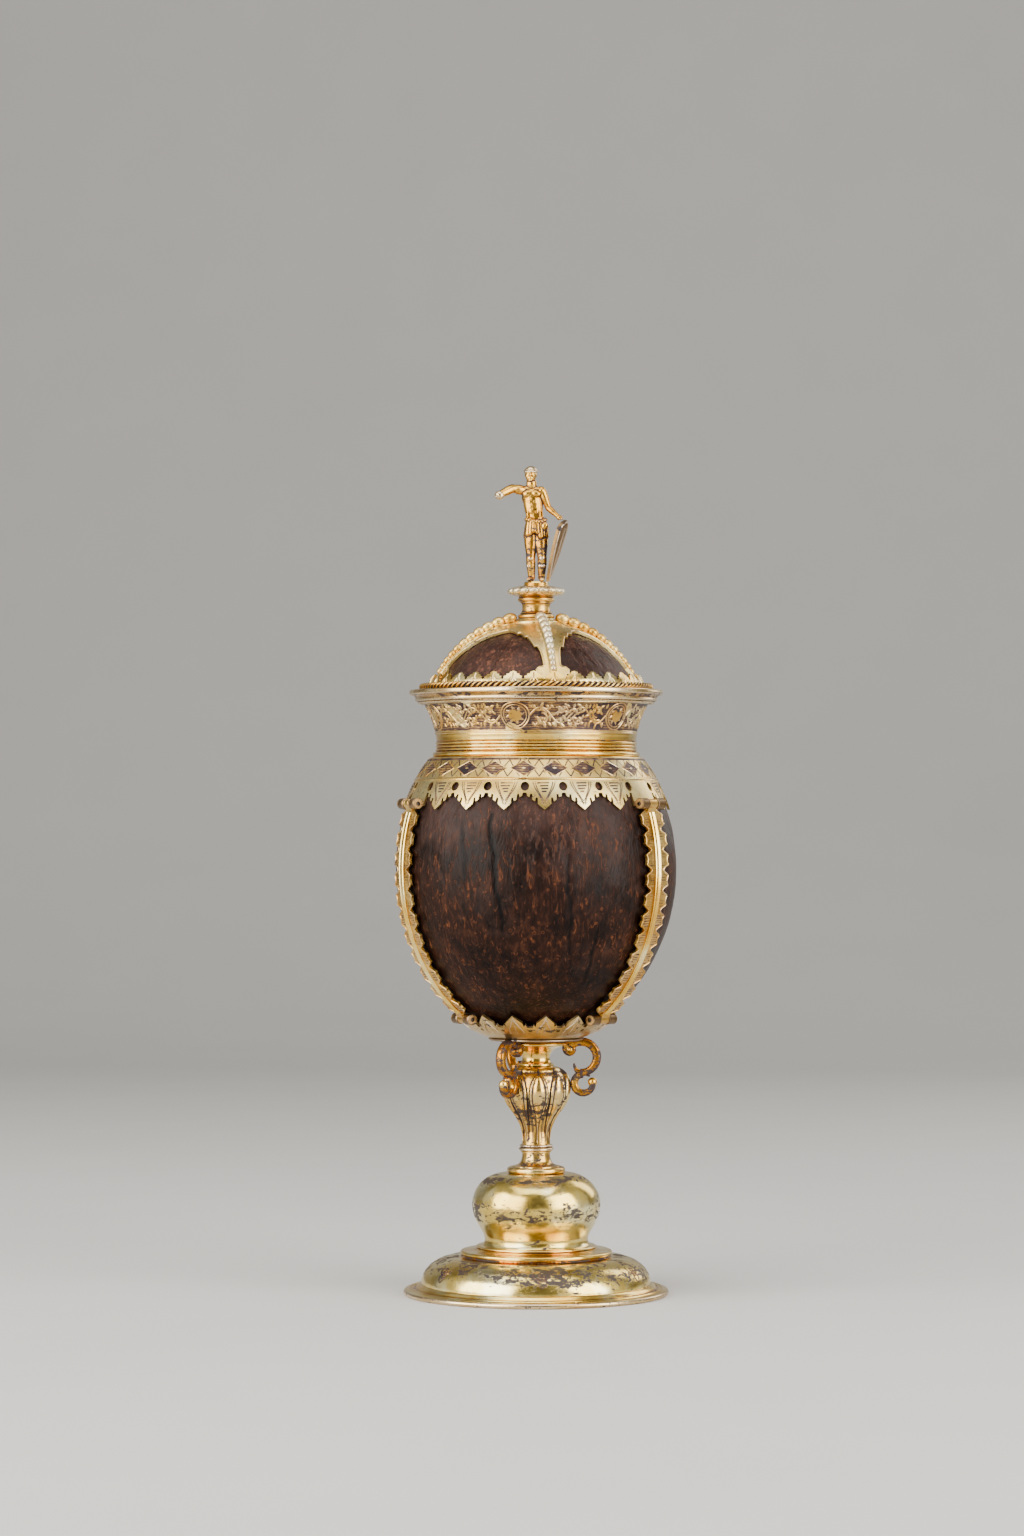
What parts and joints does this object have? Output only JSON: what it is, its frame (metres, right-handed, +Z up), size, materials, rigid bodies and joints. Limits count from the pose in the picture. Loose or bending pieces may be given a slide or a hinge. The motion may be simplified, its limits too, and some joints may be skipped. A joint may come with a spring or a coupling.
{
  "type": "standing cup and cover",
  "caption": "Covered standing cup: a polished coconut bowl held by hinged scalloped straps in silver-gilt mounts, on a lobed stem and domed foot, with a lift-off cover.",
  "frame": {"origin": "centre of the foot's underside, on the cup's axis and on the surface it stands on", "axes": "+Z up along the cup's axis; -Y is the front, between two straps; +X is to the viewer's right"},
  "size_m": [0.0952, 0.0981, 0.2813],
  "materials": {
    "gilt": "polished gilding, rubbed",
    "gilt_deep": "gilding, amber hollows",
    "gilt_pale": "engraved gilding",
    "silver_worn": "gilding worn to silver",
    "coconut": "waxed nutshell",
    "lid_coconut": "waxed nutshell",
    "iron": "dark iron",
    "pin_wire": "drawn wire"
  },
  "bodies": {
    "cup": {"foot_rim": "gilt", "foot_dome": "gilt", "foot_step": "gilt_deep", "foot_cushion": "gilt", "stem_spool": "gilt", "stem_ring": "gilt", "stem_baluster": "gilt", "stem_cap": "gilt", "stem_rod": "iron", "stem_washer": "iron", "stem_nut": "iron", "scroll_bracket_1": "gilt", "scroll_bracket_2": "gilt", "scroll_bracket_3": "gilt", "calyx": "gilt_pale", "coconut_bowl": "coconut", "shoulder_band": "gilt_pale", "neck_moulding": "gilt", "lip_band": "gilt_pale", "upper_pin_1": "pin_wire", "upper_pin_2": "pin_wire", "upper_pin_3": "pin_wire"},
    "lid": {"lid_rim": "silver_worn", "lid_bezel": "silver_worn", "lid_rope": "gilt", "lid_fringe": "gilt_pale", "lid_shell": "lid_coconut", "lid_crown": "gilt", "lid_beads_1": "gilt", "lid_beads_2": "gilt", "lid_beads_3": "gilt", "lid_beads_4": "gilt", "finial_spool": "gilt", "finial_disc": "silver_worn", "finial_plinth": "gilt", "figure": "gilt", "figure_shield": "silver_worn", "finial_bolt": "iron", "finial_washer": "iron", "finial_nut": "iron"},
    "strap_1": {"strap_1": "gilt_pale", "strap_rib_1": "gilt"},
    "lower_pin_1": {"lower_pin_1": "pin_wire"},
    "strap_2": {"strap_2": "gilt_pale", "strap_rib_2": "gilt"},
    "lower_pin_2": {"lower_pin_2": "pin_wire"},
    "strap_3": {"strap_3": "gilt_pale", "strap_rib_3": "gilt"},
    "lower_pin_3": {"lower_pin_3": "pin_wire"}
  },
  "joints": [
    {"name": "lid_lift", "type": "slide", "parent": "cup", "child": "lid", "axis": [0, 0, 1], "range_m": [0, 0.1]},
    {"name": "strap_hinge_1", "type": "hinge", "parent": "cup", "child": "strap_1", "pos_m": [0.04041, -0.02333, 0.1663], "axis": [-0.5, -0.866, 0], "range_deg": [0, 75]},
    {"name": "lower_pin_draw_1", "type": "slide", "parent": "cup", "child": "lower_pin_1", "axis": [0.5, 0.866, 0], "range_m": [0, 0.016]},
    {"name": "strap_hinge_2", "type": "hinge", "parent": "cup", "child": "strap_2", "pos_m": [0, 0.04666, 0.1663], "axis": [1, 0, 0], "range_deg": [0, 75]},
    {"name": "lower_pin_draw_2", "type": "slide", "parent": "cup", "child": "lower_pin_2", "axis": [-1, 0, 0], "range_m": [0, 0.016]},
    {"name": "strap_hinge_3", "type": "hinge", "parent": "cup", "child": "strap_3", "pos_m": [-0.04041, -0.02333, 0.1663], "axis": [-0.5, 0.866, 0], "range_deg": [0, 75]},
    {"name": "lower_pin_draw_3", "type": "slide", "parent": "cup", "child": "lower_pin_3", "axis": [0.5, -0.866, 0], "range_m": [0, 0.016]}
  ]
}
